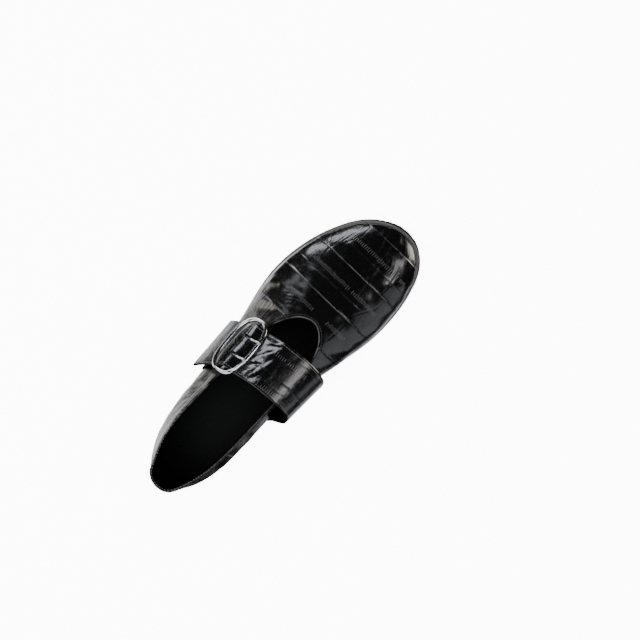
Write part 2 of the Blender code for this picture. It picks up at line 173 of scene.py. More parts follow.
add_floor()
add_surroundings()
print("floor width in m:", FLOOR_SIZE)

# %% [markdown]
# Glossy black leather shows little but what it mirrors, so the lamps are placed by where the photo's
# highlights mirror to: a compass angle from the toe towards the outer side, and a height angle.
# The real shoe leaned when it was pictured, so some of those lamps are lower than the floor here, and
# the floor lets mirror rays through to them. Two lamps will light the strap or the buckle alone.
# %% Soft boxes
LAMP_DISTANCE = 1.25
WHITE = (1.0, 1.0, 1.0)
WARM = (1.0, 0.98, 0.86)
COOL = (0.90, 0.94, 1.0)
SOFT_BOXES = (
    # name, compass angle, height angle, width and height in degrees, brightness, tint
    ("outer_heel_box", 127.0, -50.0, 36.0, 36.0, 1.9, WHITE),
    ("outer_box", 118.0, -3.0, 17.0, 34.0, 3.8, WARM),
    ("throat_box", 92.0, 21.0, 8.0, 18.0, 2.8, COOL),
    ("outer_toe_box", 66.0, -10.0, 32.0, 22.0, 7.0, COOL),
    ("strap_box", 50.0, 33.0, 26.0, 18.0, 10.0, COOL),
    ("buckle_box", 10.0, 72.0, 34.0, 24.0, 4.5, WHITE),
    ("inner_box", -88.0, -1.0, 26.0, 44.0, 0.9, COOL),
    ("inner_heel_box", -102.0, -57.0, 20.0, 22.0, 0.6, WHITE),
    ("inner_high_box", -48.0, 33.0, 22.0, 10.0, 7.0, WHITE),
    ("toe_box", -30.0, -23.0, 30.0, 38.0, 6.0, WARM),
    ("heel_box", 180.0, 38.0, 46.0, 26.0, 0.8, WHITE),
    ("heel_high_box", 180.0, 64.0, 60.0, 20.0, 3.2, WHITE),
    ("heel_outer_box", 134.0, 36.0, 40.0, 24.0, 1.2, WHITE),
    ("heel_inner_box", 226.0, 36.0, 40.0, 24.0, 1.0, WHITE),
)
FLOOR_LIGHT_PLACE = Vector((0.2, 0.3, 1.6))
FLOOR_LIGHT_SIZE = 2.4
FLOOR_LIGHT_WATTS = 90.0


def add_lamp(name, place, width, height, watts, tint=WHITE):
    bpy.ops.object.light_add(type="AREA", location=place)
    lamp = bpy.context.object
    lamp.name = name
    lamp.data.shape = "RECTANGLE"
    lamp.data.size = width
    lamp.data.size_y = height
    lamp.data.energy = watts
    lamp.data.color = tint
    lamp.visible_camera = False
    lamp.rotation_euler = (-Vector(place)).to_track_quat("-Z", "Y").to_euler()
    return lamp


def add_soft_boxes():
    for name, compass, rise, wide, tall, brightness, tint in SOFT_BOXES:
        compass, rise = math.radians(compass), math.radians(rise)
        level = math.cos(rise)
        way = Vector((level * math.cos(compass), level * math.sin(compass), math.sin(rise)))
        width = 2 * LAMP_DISTANCE * math.tan(math.radians(wide / 2))
        height = 2 * LAMP_DISTANCE * math.tan(math.radians(tall / 2))
        add_lamp(name, way * LAMP_DISTANCE, width, height, math.pi * width * height * brightness, tint)


def light_only(lamp, *pieces):
    """Lets one lamp light these pieces alone."""
    lit = bpy.data.collections.new(lamp + "_lights")
    for piece in pieces:
        lit.objects.link(piece)
    bpy.data.objects[lamp].light_linking.receiver_collection = lit


add_soft_boxes()
overhead = add_lamp("floor_light", FLOOR_LIGHT_PLACE, FLOOR_LIGHT_SIZE, FLOOR_LIGHT_SIZE, FLOOR_LIGHT_WATTS)
overhead.visible_glossy = False
print("soft boxes:", len(SOFT_BOXES))

# %% [markdown]
# A solid of the frame is made of loose triangles. A copy of it is a good start for a soft piece: its
# corners are merged, its triangles are turned back into four-sided faces, and then it can be
# smoothed and dented like any mesh. These helpers do that, and read and write points in millimetres.
# %% Helpers for meshes
MERGE_DISTANCE = 0.02 * MM
QUAD_BEND = math.radians(50)
QUAD_SKEW = math.radians(75)
SHARP_ANGLE = math.radians(50)


def pick(piece):
    bpy.ops.object.select_all(action="DESELECT")
    bpy.context.view_layer.objects.active = piece
    piece.select_set(True)


def edit(piece, selecting=None):
    """Opens a piece for editing; SELECT or DESELECT goes for all of it."""
    pick(piece)
    bpy.ops.object.mode_set(mode="EDIT")
    if selecting:
        bpy.ops.mesh.select_all(action=selecting)


def done():
    bpy.ops.object.mode_set(mode="OBJECT")


def copy_of(node, name):
    """A copy of a solid's mesh as a new piece, with merged corners and four-sided faces."""
    piece = bpy.data.objects.new(name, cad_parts[node].data.copy())
    bpy.context.scene.collection.objects.link(piece)
    piece.data.materials.clear()
    edit(piece)
    bpy.ops.mesh.customdata_custom_splitnormals_clear()
    bpy.ops.mesh.select_all(action="SELECT")
    bpy.ops.mesh.remove_doubles(threshold=MERGE_DISTANCE)
    bpy.ops.mesh.tris_convert_to_quads(face_threshold=QUAD_BEND, shape_threshold=QUAD_SKEW)
    bpy.ops.mesh.mark_sharp(clear=True)
    done()
    return piece


def smooth_by_subdivision(piece, crease=0.0):
    """Rounds a piece twice over; its sharp edges keep a share of their sharpness."""
    if crease:
        edit(piece, "DESELECT")
        bpy.ops.mesh.edges_select_sharp(sharpness=SHARP_ANGLE)
        bpy.ops.transform.edge_crease(value=crease)
        done()
    rounding = piece.modifiers.new("rounding", "SUBSURF")
    rounding.levels = 2
    rounding.render_levels = rounding.levels
    bpy.ops.object.modifier_apply(modifier=rounding.name)


def vectors(items, label):
    values = np.empty(len(items) * 3, np.float32)
    items.foreach_get(label, values)
    return values.reshape(-1, 3).astype(float)


def points_of(piece):
    """Places in millimetres and normals of all points."""
    return vectors(piece.data.vertices, "co") / MM, vectors(piece.data.vertex_normals, "vector")


def faces_of(piece):
    """Centres in millimetres and normals of all faces."""
    return vectors(piece.data.polygons, "center") / MM, vectors(piece.data.polygons, "normal")


def move_points(piece, places):
    piece.data.vertices.foreach_set("co", (places * MM).astype(np.float32).ravel())
    piece.data.update()


def store(piece, **values):
    """Keeps numbers for each point under their names, for a material to read."""
    for name, value in values.items():
        layer = piece.data.attributes.new(name, "FLOAT", "POINT")
        layer.data.foreach_set("value", (np.zeros(len(layer.data)) + value).astype(np.float32))


def select_faces(piece, chosen):
    """Selects faces by a list of true and false, and leaves the piece in edit mode."""
    bpy.context.tool_settings.mesh_select_mode = (False, False, True)
    edit(piece, "DESELECT")
    done()
    piece.data.polygons.foreach_set("select", np.asarray(chosen, bool))
    edit(piece)


def report(piece):
    piece.data.calc_loop_triangles()
    print(piece.name, "triangles:", len(piece.data.loop_triangles))


print("helpers for meshes ready")

# %% [markdown]
# Leather creases along lines. A route is such a line, given by a few points on the flattened skin.
# For every point of a mesh, these helpers work out how far it lies from the route, and from that how
# deep it sinks: into a soft trough, or into a face that slopes to one side. A depth below zero
# turns a trough into a raised fold.
# %% Helpers for creases
FAR_AWAY = 1e9
ROUTE_ENDS = (0.03, 0.97)
END_FADE = 0.6
RIDGE_SHARE = 0.4
RIDGE_PLACE = 1.9


def unit(ways):
    """The same ways, each of length one."""
    return ways / np.linalg.norm(ways, axis=1)[:, None]


def soft_step(value, low, high):
    part = np.clip((value - low) / (high - low), 0.0, 1.0)
    return part * part * (3 - 2 * part)


def along_route(flat, route):
    """For each point: distance from a route, the way across to it, and a fade at the route's ends."""
    route = np.array(route, float)
    runs = np.linalg.norm(np.diff(route, axis=0), axis=1)
    ends = np.append(0.0, np.cumsum(runs)) / runs.sum()
    nearest = np.full(len(flat), FAR_AWAY)
    off = np.zeros((len(flat), 2))
    along = np.zeros(len(flat))
    for i, run in enumerate(runs):
        way = (route[i + 1] - route[i]) / run
        part = np.clip((flat - route[i]) @ way, 0.0, run)
        gap = flat - route[i] - part[:, None] * way
        closer = np.linalg.norm(gap, axis=1) < nearest
        off[closer] = gap[closer]
        nearest[closer] = np.linalg.norm(gap[closer], axis=1)
        along[closer] = (ends[i] + part / runs.sum())[closer]
    return nearest, off, np.sin(np.pi * np.clip(along, *ROUTE_ENDS)) ** END_FADE


def trough(flat, route, depth, width):
    """How far points sink under a crease: a soft trough along a route, with a low ridge beside it."""
    nearest, _, fade = along_route(flat, route)
    off = nearest / width
    return depth * fade * (np.exp(-off ** 2) - RIDGE_SHARE * np.exp(-(off - RIDGE_PLACE) ** 2))


def tilted_face(flat, route, tilt, width):
    """How far points sink in a crumpled face: it slopes down to the side of the first coordinate."""
    nearest, off, fade = along_route(flat, route)
    side = np.sign(off[:, 0]) * nearest
    return tilt * fade * side * np.exp(-(nearest / width) ** 2)


print("helpers for creases ready")

# %% [markdown]
# The upper is pieced from narrow strips of glazed skin that run across the shoe. Where two strips
# meet there is a fine raised seam. The seams are real ridges here: planes cut the smoothed mesh into
# narrow rows of faces beside each other, and the middle row is lifted later on.
# %% Upper: smooth the shell and cut the seams
STRIP_WAY = np.array((1.0, 0.03, -0.2))
# place along the strips, height of the ridge
SEAMS = ((-83.0, 0.14), (19.6, 0.26), (47.9, 0.30), (58.8, 0.10), (76.8, 0.30), (88.4, 0.10), (108.1, 0.26))
SEAM_STEPS = (-0.6, -0.3, 0.0, 0.3, 0.6)
SEAM_REACH = 4.0
UPPER_CREASE = 0.15
VAMP_START = 12.0
# The middle line of the shoe's inside: where it is, and its two ends
HEART = np.array((0.0, -2.0, 20.0))
HEART_ENDS = (-100.0, 88.0)


def outside_share(places, normals):
    """Above zero where a wall of the upper faces out of the shoe."""
    core = np.tile(HEART, (len(places), 1))
    core[:, 0] = np.clip(places[:, 0], *HEART_ENDS)
    return (unit(places - core) * normals).sum(axis=1)


def outside_near(piece, line):
    """Faces of the outside that lie near a line between two strips."""
    centres, normals = faces_of(piece)
    near = np.abs(centres @ STRIP_WAY - line) < SEAM_REACH
    return near & (outside_share(centres, normals) > 0.0)


def cut_seams(piece, seams, plane, base, faces_near):
    """Cuts a few lines beside each other along every seam."""
    for spot, _ in seams:
        for step in SEAM_STEPS:
            select_faces(piece, faces_near(piece, spot + step))
            origin = base + plane * (spot + step) / (plane @ plane)
            bpy.ops.mesh.bisect(plane_co=origin * MM, plane_no=plane)
            done()


upper = copy_of("upper", "upper_leather")
smooth_by_subdivision(upper, UPPER_CREASE)
face_places, face_normals = faces_of(upper)
on_vamp = (face_places[:, 0] > VAMP_START) & (outside_share(face_places, face_normals) > 0.0)
select_faces(upper, on_vamp)
bpy.ops.mesh.subdivide(number_cuts=1)
done()
cut_seams(upper, SEAMS, STRIP_WAY, np.zeros(3), outside_near)
report(upper)

# %% [markdown]
# The collar is turned over at its edge and sewn down, so its last two or three millimetres roll
# inwards. Its line is read from the upper's own solid: sharp edges chain into loops, and the longest
# loop above the sole is the collar's outer edge. Each point of it also learns its way down the wall.
# %% Upper: find the collar's edge
LEAST_LOOP_POINTS = 20
LEAST_LOOP_HEIGHT = 30.0


def sharp_loops(piece):
    """Chains the sharp edges of a piece into lists of point numbers."""
    bpy.context.tool_settings.mesh_select_mode = (False, True, False)
    edit(piece, "DESELECT")
    bpy.ops.mesh.edges_select_sharp(sharpness=SHARP_ANGLE)
    done()
    links = {}
    for edge in piece.data.edges:
        if edge.select:
            first, second = edge.vertices
            links.setdefault(first, []).append(second)
            links.setdefault(second, []).append(first)
    loops = []
    left = set(links)
    while left:
        loop = [min(left)]
        left.discard(loop[0])
        ahead = links[loop[0]]
        while ahead:
            loop.append(ahead[0])
            left.discard(ahead[0])
            ahead = [point for point in links[loop[-1]] if point in left]
        loops.append(loop)
    return loops


def is_rim(loop, places):
    return len(loop) > LEAST_LOOP_POINTS and places[loop, 2].mean() > LEAST_LOOP_HEIGHT


def collar_edge():
    """Points of the collar's outer edge, and the way down the wall at each."""
    guide = copy_of("upper", "collar_guide")
    places, _ = points_of(guide)
    loops = [loop for loop in sharp_loops(guide) if is_rim(loop, places)]
    lengths = [np.linalg.norm(np.diff(places[loop], axis=0), axis=1).sum() for loop in loops]
    edge = loops[int(np.argmax(lengths))]
    rims = set(np.concatenate(loops).tolist())
    down = {point: [] for point in edge}
    for link in guide.data.edges:
        for first, second in (link.vertices, tuple(link.vertices)[::-1]):
            if first in down and second not in rims:
                down[first].append(places[second] - places[first])
    edge = [point for point in edge if down[point]]
    ways = np.array([np.mean(down[point], axis=0) for point in edge])
    bpy.data.objects.remove(guide)
    return places[edge], unit(ways)


COLLAR_EDGE, COLLAR_DOWN = collar_edge()
print("collar edge points:", len(COLLAR_EDGE))

# %% [markdown]
# Bending has left creases in the upper, and fine cracks in its glaze. On the toe each is placed by two
# numbers: how far along the shoe it is, and how far round the shoe's back from the ridge. On the
# flanks and round the heel, height takes the place of the second. The two raised folds between the
# throat and the buckle are where the foot bends, and their slopes catch the warm lamp.
# %% Upper: where the creases lie
ROUND_RADIUS = 34.0
ROUND_AXIS = (-1.0, 8.0)
# Cracks in the glaze, thin as a hair; along the first ones light is painted, a painted highlight
HAIRLINES = (
    ((86.5, -4.8), (97.8, -5.3), (107.7, -7.4), (112.6, -4.9), (121.2, -10.5)),
    ((101.1, -1.4), (107.6, 2.0), (113.2, 6.1), (120.8, 14.1)),
    ((68.3, -12.1), (74.2, -11.9), (79.3, -11.4), (85.2, -9.6)),
    ((88.5, -11.1), (94.4, -11.0), (98.6, -9.5), (105.2, -10.3)),
    ((34.3, -14.0), (39.0, -16.1), (47.4, -17.2), (57.6, -17.8)),
    ((57.6, -17.3), (62.6, -18.8), (67.4, -22.5), (74.5, -28.3), (82.1, -29.8)),
    ((86.1, -24.9), (92.9, -25.4), (98.0, -25.6), (104.7, -26.0)),
    ((70.8, 36.1), (77.4, 38.5), (82.8, 37.8), (91.6, 50.6)),
    ((73.2, 30.6), (80.7, 33.1), (90.1, 33.6), (97.6, 36.1)),
    ((83.8, 27.6), (92.3, 28.0), (102.7, 25.2), (111.4, 32.4)),
    ((85.2, 31.7), (95.5, 31.5), (103.8, 33.6), (110.0, 42.0)),
)
HAIRLINES_PAINTED_LIGHT = 4
# Folds: depth, width, route; the first two are raised
VAMP_FOLDS = (
    (-0.80, 3.6, ((27.0, 44.6), (33.5, 41.4), (38.5, 37.8), (42.5, 33.4))),
    (-0.68, 3.2, ((15.2, 42.0), (19.8, 36.0), (23.6, 30.3), (27.7, 24.2), (33.0, 14.8))),
    (0.22, 1.8, ((36.5, 20.0), (39.5, 15.5), (41.5, 10.5))),
    (0.22, 1.8, ((40.0, 24.5), (42.5, 19.5), (45.0, 15.0))),
    (0.20, 1.6, ((33.0, 16.0), (36.0, 12.5), (39.5, 8.0))),
    (0.20, 1.8, ((36.6, 28.6), (41.1, 22.5), (48.1, 22.2))),
    (0.20, 2.4, ((44.5, -24.9), (52.0, -32.6), (61.6, -38.5), (70.3, -39.3))),
)
# side (1 outer, -1 inner), depth, width, route of (along the shoe, height)
FLANK_CREASES = (
    (1, 0.20, 1.4, ((-75.7, 31.9), (-66.5, 37.3), (-58.3, 39.5))),
    (1, 0.20, 1.6, ((-68.9, 29.7), (-57.7, 35.5), (-47.2, 39.0))),
    (1, 0.20, 1.5, ((-88.0, 32.4), (-79.0, 33.5), (-70.5, 36.2))),
    (1, 0.25, 2.2, ((-108.0, 40.0), (-98.0, 34.0), (-86.0, 27.0))),
    (1, 0.22, 1.8, ((-112.0, 33.0), (-101.0, 27.0), (-92.0, 23.5))),
    (1, 0.20, 1.6, ((-60.0, 25.0), (-50.0, 28.0), (-42.0, 29.0))),
    (-1, 0.22, 1.8, ((-108.0, 36.0), (-97.0, 31.0), (-88.0, 28.5))),
    (-1, 0.22, 2.0, ((-112.0, 28.0), (-100.0, 23.5), (-90.0, 21.5))),
    (-1, 0.20, 1.6, ((-82.0, 36.0), (-70.0, 34.0), (-58.0, 35.0))),
    (-1, 0.18, 1.5, ((-66.0, 27.0), (-56.0, 26.0), (-47.0, 28.0))),
)
# Low broad waves: height, waves per millimetre along and round the shoe, start of the wave
SWELLS = (
    (0.10, 0.050, 0.021, 0.4),
    (0.09, 0.031, -0.047, 2.1),
    (0.05, 0.083, 0.039, 4.0),
    (0.04, 0.062, -0.074, 1.2),
    (0.02, 0.118, 0.066, 5.1),
)
print("creases:", len(HAIRLINES) + len(VAMP_FOLDS) + len(FLANK_CREASES))

# %% [markdown]
# Now every point of the outside is moved along its normal by the sum of all this: up for seams and
# swells, down for creases, and inwards at the collar's edge. Points by the sole stay, so that no gap
# opens there. The finish needs some numbers too, so each point keeps its place on the skin, and how
# much painted highlight it gets: on the seams' crests, where it is partly rubbed wear as well, on the
# first hairlines, and on the top of the rim round the heel.
# %% Upper: lay the creases
SEAM_HALF = 0.6
# Half width of the light line painted on each seam's crest: partly rubbed wear, partly painted highlight
SEAM_HIGHLIGHT_HALF = 0.30
SEAM_TALLEST = max(height for _, height in SEAMS)
HAIRLINE_DEPTH = 0.12
HAIRLINE_WIDTH = 0.7
HAIRLINE_HIGHLIGHT = 0.3
HAIRLINE_HIGHLIGHT_CORE = (0.3, 0.9)
COLLAR_ROW = 2.8
ROW_GROOVE = 0.15
ROW_GROOVE_WIDTH = 0.5
ROLL_WIDTH = 2.4
ROLL_DEPTH = 0.6
FACING_OUT = (0.0, 0.3)
CLEAR_OF_SOLE = (14.0, 19.0)
TOE_START = 60.0
VAMP_FADES = (-30.0, -5.0)
# Round the heel the top of the folded edge, where it faces up, is painted light: a painted highlight
RIM_HIGHLIGHT_EDGE = (1.3, 1.9)
RIM_HIGHLIGHT_FACING_UP = (0.45, 0.8)
RIM_HIGHLIGHT_FADES = (-60.0, -10.0)
# The lengthwise streaks of the quarters end here on the outer and the inner side
STREAKS_END = (48.0, 20.0)
STREAKS_FADE = 25.0
STREAKS_INNER = 0.5
STREAKS_FROM_EDGE = (2.0, 5.0)


def edge_distance(places):
    """Distance of each point from the collar's edge."""
    line = np.vstack((COLLAR_EDGE, COLLAR_EDGE[:1]))
    near = np.full(len(places), FAR_AWAY)
    for first, second in zip(line[:-1], line[1:]):
        way = second - first
        part = np.clip((places - first) @ way / (way @ way), 0.0, 1.0)
        near = np.minimum(near, np.linalg.norm(places - first - part[:, None] * way, axis=1))
    return near


def ridges(line, seams, half):
    """Height of the ridges over the seams, by the place along the strips."""
    return sum(height * (1 - soft_step(np.abs(line - spot), 0.0, half)) for spot, height in seams)


def swell(skin):
    """Low broad waves that keep a large highlight from being even."""
    return sum(height * np.sin(2 * math.pi * (skin @ np.array((along, around))) + start)
               for height, along, around, start in SWELLS)


def round_the_shoe(places):
    """Distance round the shoe from its ridge, to the outer side, in millimetres."""
    y_axis, z_axis = ROUND_AXIS
    return ROUND_RADIUS * np.arctan2(places[:, 1] - y_axis, places[:, 2] - z_axis)


def crease_upper(piece):
    places, normals = points_of(piece)
    along, across, tall = places.T
    strip = places @ STRIP_WAY
    girth = round_the_shoe(places)
    skin = np.column_stack((along, girth))
    to_edge = edge_distance(places)
    lift = ridges(strip, SEAMS, SEAM_HALF) + swell(skin)
    # Seams' crests painted light: partly rubbed wear, partly painted highlight
    worn = ridges(strip, SEAMS, SEAM_HIGHLIGHT_HALF) / SEAM_TALLEST
    for i, route in enumerate(HAIRLINES):
        crack = trough(skin, route, 1.0, HAIRLINE_WIDTH)
        lift -= HAIRLINE_DEPTH * crack
        # Painted highlight: the first hairlines are painted light along their core
        if i < HAIRLINES_PAINTED_LIGHT:
            worn = np.maximum(worn, HAIRLINE_HIGHLIGHT * soft_step(crack, *HAIRLINE_HIGHLIGHT_CORE))
    for depth, width, route in VAMP_FOLDS:
        lift -= trough(skin, route, depth, width)
    for side, depth, width, route in FLANK_CREASES:
        lift -= trough(places[:, [0, 2]], route, depth, width) * (across * side > 0.0)
    lift -= ROLL_DEPTH * np.clip(1 - to_edge / ROLL_WIDTH, 0.0, 1.0) ** 2
    lift -= ROW_GROOVE * np.exp(-((to_edge - COLLAR_ROW) / ROW_GROOVE_WIDTH) ** 2)
    faces_out = soft_step(outside_share(places, normals), *FACING_OUT)
    free = np.where(along < TOE_START, soft_step(tall, *CLEAR_OF_SOLE), 1.0)
    move_points(piece, places + normals * (lift * faces_out * free)[:, None])
    # Painted highlight on the upward-facing top of the rim round the heel
    rim = soft_step(normals[:, 2], *RIM_HIGHLIGHT_FACING_UP) * (1 - soft_step(to_edge, *RIM_HIGHLIGHT_EDGE))
    rim *= 1 - soft_step(along, *RIM_HIGHLIGHT_FADES)
    outer = across > 0.0
    end = np.where(outer, *STREAKS_END)
    streaks = np.where(outer, 1.0, STREAKS_INNER) * soft_step(to_edge, *STREAKS_FROM_EDGE)
    streaks *= 1 - soft_step(along, end - STREAKS_FADE, end)
    store(piece, strip=strip, girth=girth, vamp=soft_step(along, *VAMP_FADES),
          worn=np.maximum(worn * faces_out, rim), streaks=streaks)


crease_upper(upper)
report(upper)

# %% [markdown]
# The finish of the skin is made once as a node group. It takes two distances on the skin and gives
# back a height: fine growth lines that run with the strips, broader wrinkles that gather in patches,
# and pores. Each leather piece feeds in its own distances, so the lines turn with the piece.
# %% Node group for the glazed skin
GATHERED = (0.40, 0.68)
WRINKLES_LEAST = 0.08
WRINKLES_MORE = 0.22
GROWTH_LINES = 0.09
PORES = 0.03
STREAK_HEIGHT = 0.75


def new_group(name, inputs, outputs):
    group = bpy.data.node_groups.new(name, "ShaderNodeTree")
    for way, labels in (("INPUT", inputs), ("OUTPUT", outputs)):
        for label in labels:
            group.interface.new_socket(label, in_out=way, socket_type="NodeSocketFloat")
    return group, group.nodes.new("NodeGroupInput"), group.nodes.new("NodeGroupOutput")


def stretch(tree, value, low, high):
    """A soft step from 0 to 1 as a value goes from low to high."""
    node = tree.nodes.new("ShaderNodeMapRange")
    node.interpolation_type = "SMOOTHSTEP"
    node.inputs["From Min"].default_value = low
    node.inputs["From Max"].default_value = high
    tree.links.new(value, node.inputs["Value"])
    return node.outputs["Result"]


def speckle(tree, first, second, third, detail, wander=0.0):
    """Noise over three distances that are already divided by the size of its spots."""
    place = tree.nodes.new("ShaderNodeCombineXYZ")
    for slot, value in zip(place.inputs, (first, second, third)):
        tree.links.new(value, slot)
    node = tree.nodes.new("ShaderNodeTexNoise")
    node.inputs["Scale"].default_value = 1.0
    node.inputs["Detail"].default_value = detail
    node.inputs["Distortion"].default_value = wander
    tree.links.new(place.outputs["Vector"], node.inputs["Vector"])
    return node.outputs["Fac"]


def make_skin_group():
    """Along and Round in millimetres on the skin; Height in millimetres."""
    inputs = ("Along", "Round", "Side", "Streaks")
    group, given, result = new_group("glazed_skin", inputs, ("Height", "Mottle"))
    along, around, side, streaks = (given.outputs[label] for label in inputs)

    def patches(long, short, detail, wander=0.0):
        return speckle(group, calc(group, "DIVIDE", along, long), calc(group, "DIVIDE", around, short),
                       side, detail, wander)

    mottle = patches(3.0, 2.0, 4.0)
    gathered = stretch(group, patches(26.0, 18.0, 1.0), *GATHERED)
    wrinkles = calc(group, "MULTIPLY_ADD", gathered, WRINKLES_MORE, WRINKLES_LEAST)
    height = calc(group, "MULTIPLY", patches(11.0, 2.6, 3.0, 0.8), wrinkles)
    height = calc(group, "MULTIPLY_ADD", patches(6.0, 0.7, 3.0, 0.3), GROWTH_LINES, height)
    height = calc(group, "MULTIPLY_ADD", mottle, PORES, height)
    streak = calc(group, "MULTIPLY", patches(18.0, 1.5, 4.0, 0.2), STREAK_HEIGHT)
    height = calc(group, "MULTIPLY_ADD", streak, streaks, height)
    group.links.new(height, result.inputs["Height"])
    group.links.new(mottle, result.inputs["Mottle"])
    return group


SKIN_GROUP = make_skin_group()
print("skin group nodes:", len(SKIN_GROUP.nodes))

# %% [markdown]
# A finish is a small net of nodes. Most of them here are alike: one noise, in spots of a known size,
# drives the colour, the roughness and a fine height together, as wear does on a real surface. These
# helpers draw such nets, so that each finish further on takes only a few lines.
# %% Helpers for finishes
def read(tree, name):
    node = tree.nodes.new("ShaderNodeAttribute")
    node.attribute_name = name
    return node.outputs["Fac"]


def object_place(tree):
    """X, Y and Z on the piece, in millimetres."""
    where = tree.nodes.new("ShaderNodeTexCoord")
    split = tree.nodes.new("ShaderNodeSeparateXYZ")
    tree.links.new(where.outputs["Object"], split.inputs["Vector"])
    return [calc(tree, "DIVIDE", split.outputs[axis], MM) for axis in "XYZ"]


def spots(tree, sizes, detail=3.0):
    """Noise on the piece, with spots of these sizes along X, Y and Z in millimetres."""
    ways = [calc(tree, "DIVIDE", place, size) for place, size in zip(object_place(tree), sizes)]
    return speckle(tree, *ways, detail)


def add_bump(tree, shader, height):
    """Bumps the shader by a height in millimetres."""
    bump = tree.nodes.new("ShaderNodeBump")
    bump.inputs["Strength"].default_value = 1.0
    bump.inputs["Distance"].default_value = MM
    tree.links.new(height, bump.inputs["Height"])
    tree.links.new(bump.outputs["Normal"], shader.inputs["Normal"])


def shade_between(tree, socket, value, first, second):
    """Feeds a colour or a number that goes from first to second with a value from 0 to 1."""
    if isinstance(first, tuple):
        start, end, result = colour_mix(tree, value)
        start.default_value = (*first, 1.0)
        end.default_value = (*second, 1.0)
        tree.links.new(result, socket)
    else:
        tree.links.new(calc(tree, "MULTIPLY_ADD", value, second - first, first), socket)


def spotted(name, shades, roughness, sizes, bump, plain, metallic=0.0, detail=3.0):
    """A finish whose colour, roughness and height all follow one noise."""
    made, shader = plain_material(name, *plain, metallic)
    tree = made.node_tree
    rub = spots(tree, sizes, detail)
    shade_between(tree, shader.inputs["Base Color"], rub, *shades)
    shade_between(tree, shader.inputs["Roughness"], rub, *roughness)
    add_bump(tree, shader, calc(tree, "MULTIPLY", rub, bump))
    return made


print("helpers for finishes ready")

# %% [markdown]
# The glazed leather itself: almost black, with a hard clear glaze over it. The glaze is a coat on the
# shader, the dull places are a little rougher, and the group's height goes through a Bump node.
# A light grey is painted into its colour along a stored mask, in mottled spots: a painted highlight.
# The lining inside is plain black leather without a glaze.
# %% Leather and lining finishes
BLACK = (0.0015, 0.0015, 0.0016)
PAINTED_HIGHLIGHT_GREY = (0.045, 0.045, 0.047)
PAINTED_HIGHLIGHT_SPOTS = (0.30, 0.65)
GLAZE_ROUGHNESS = (0.10, 0.28)
# Below this height, the way down the outer flank equals the way round the shoe
FLANK_TOP = 62.0
SIDE_SCALE = 30.0
LINING_BLACK = (0.001, 0.001, 0.001)
LINING_LIGHT = (0.002, 0.002, 0.002)
LINING_ROUGHNESS = (0.47, 0.67)
INSIDE_SHARE = -0.15


def glazed_leather(name):
    """Glossy black skin with light lines painted in as painted highlight; the piece stores strip, girth,
    vamp, streaks and the mask of those lines for it.
    """
    made, shader = plain_material(name, (0.002, 0.002, 0.002), 0.2)
    tree = made.node_tree
    _, y, z = object_place(tree)
    vamp = read(tree, "vamp")
    down = calc(tree, "SUBTRACT", FLANK_TOP, z)
    around = calc(tree, "ADD", calc(tree, "MULTIPLY", read(tree, "girth"), vamp),
                  calc(tree, "MULTIPLY", down, calc(tree, "SUBTRACT", 1.0, vamp)))
    skin = tree.nodes.new("ShaderNodeGroup")
    skin.node_tree = SKIN_GROUP
    tree.links.new(read(tree, "strip"), skin.inputs["Along"])
    tree.links.new(around, skin.inputs["Round"])
    tree.links.new(calc(tree, "DIVIDE", y, SIDE_SCALE), skin.inputs["Side"])
    tree.links.new(read(tree, "streaks"), skin.inputs["Streaks"])
    mottle = skin.outputs["Mottle"]
    add_bump(tree, shader, skin.outputs["Height"])
    # Painted highlight: light grey painted on the seams, the first hairlines and the heel's rim, in mottled
    # spots
    rubbed = calc(tree, "MULTIPLY", read(tree, "worn"), stretch(tree, mottle, *PAINTED_HIGHLIGHT_SPOTS))
    shade_between(tree, shader.inputs["Base Color"], rubbed, BLACK, PAINTED_HIGHLIGHT_GREY)
    shade_between(tree, shader.inputs["Roughness"], mottle, *GLAZE_ROUGHNESS)
    shader.inputs["Coat Weight"].default_value = 0.3
    shader.inputs["Coat Roughness"].default_value = 0.08
    return made


def dull_leather(name):
    """Smooth unglazed leather with a fine grain."""
    made, shader = plain_material(name, LINING_BLACK, 0.55)
    tree = made.node_tree
    grain = spots(tree, (0.5, 0.5, 0.5))
    cloud = spots(tree, (14.0, 9.0, 9.0))
    add_bump(tree, shader, calc(tree, "MULTIPLY", grain, 0.03))
    shade_between(tree, shader.inputs["Base Color"], cloud, LINING_BLACK, LINING_LIGHT)
    shade_between(tree, shader.inputs["Roughness"], cloud, *LINING_ROUGHNESS)
    shader.inputs["Specular IOR Level"].default_value = 0.06
    return made


def dress(piece, finish, slot, *nodes):
    """Gives a piece its finish and its place in the frame."""
    piece.data.materials.append(finish)
    piece.data.shade_smooth()
    if nodes:
        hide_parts(*nodes)
    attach(piece, "root")
    report(piece)


dress(upper, glazed_leather("upper_skin"), "upper", "upper")
upper.data.materials.append(dull_leather("black_lining"))
faces_in = outside_share(*faces_of(upper)) < INSIDE_SHARE
upper.data.polygons.foreach_set("material_index", faces_in.astype(np.int32))
upper.data.update()

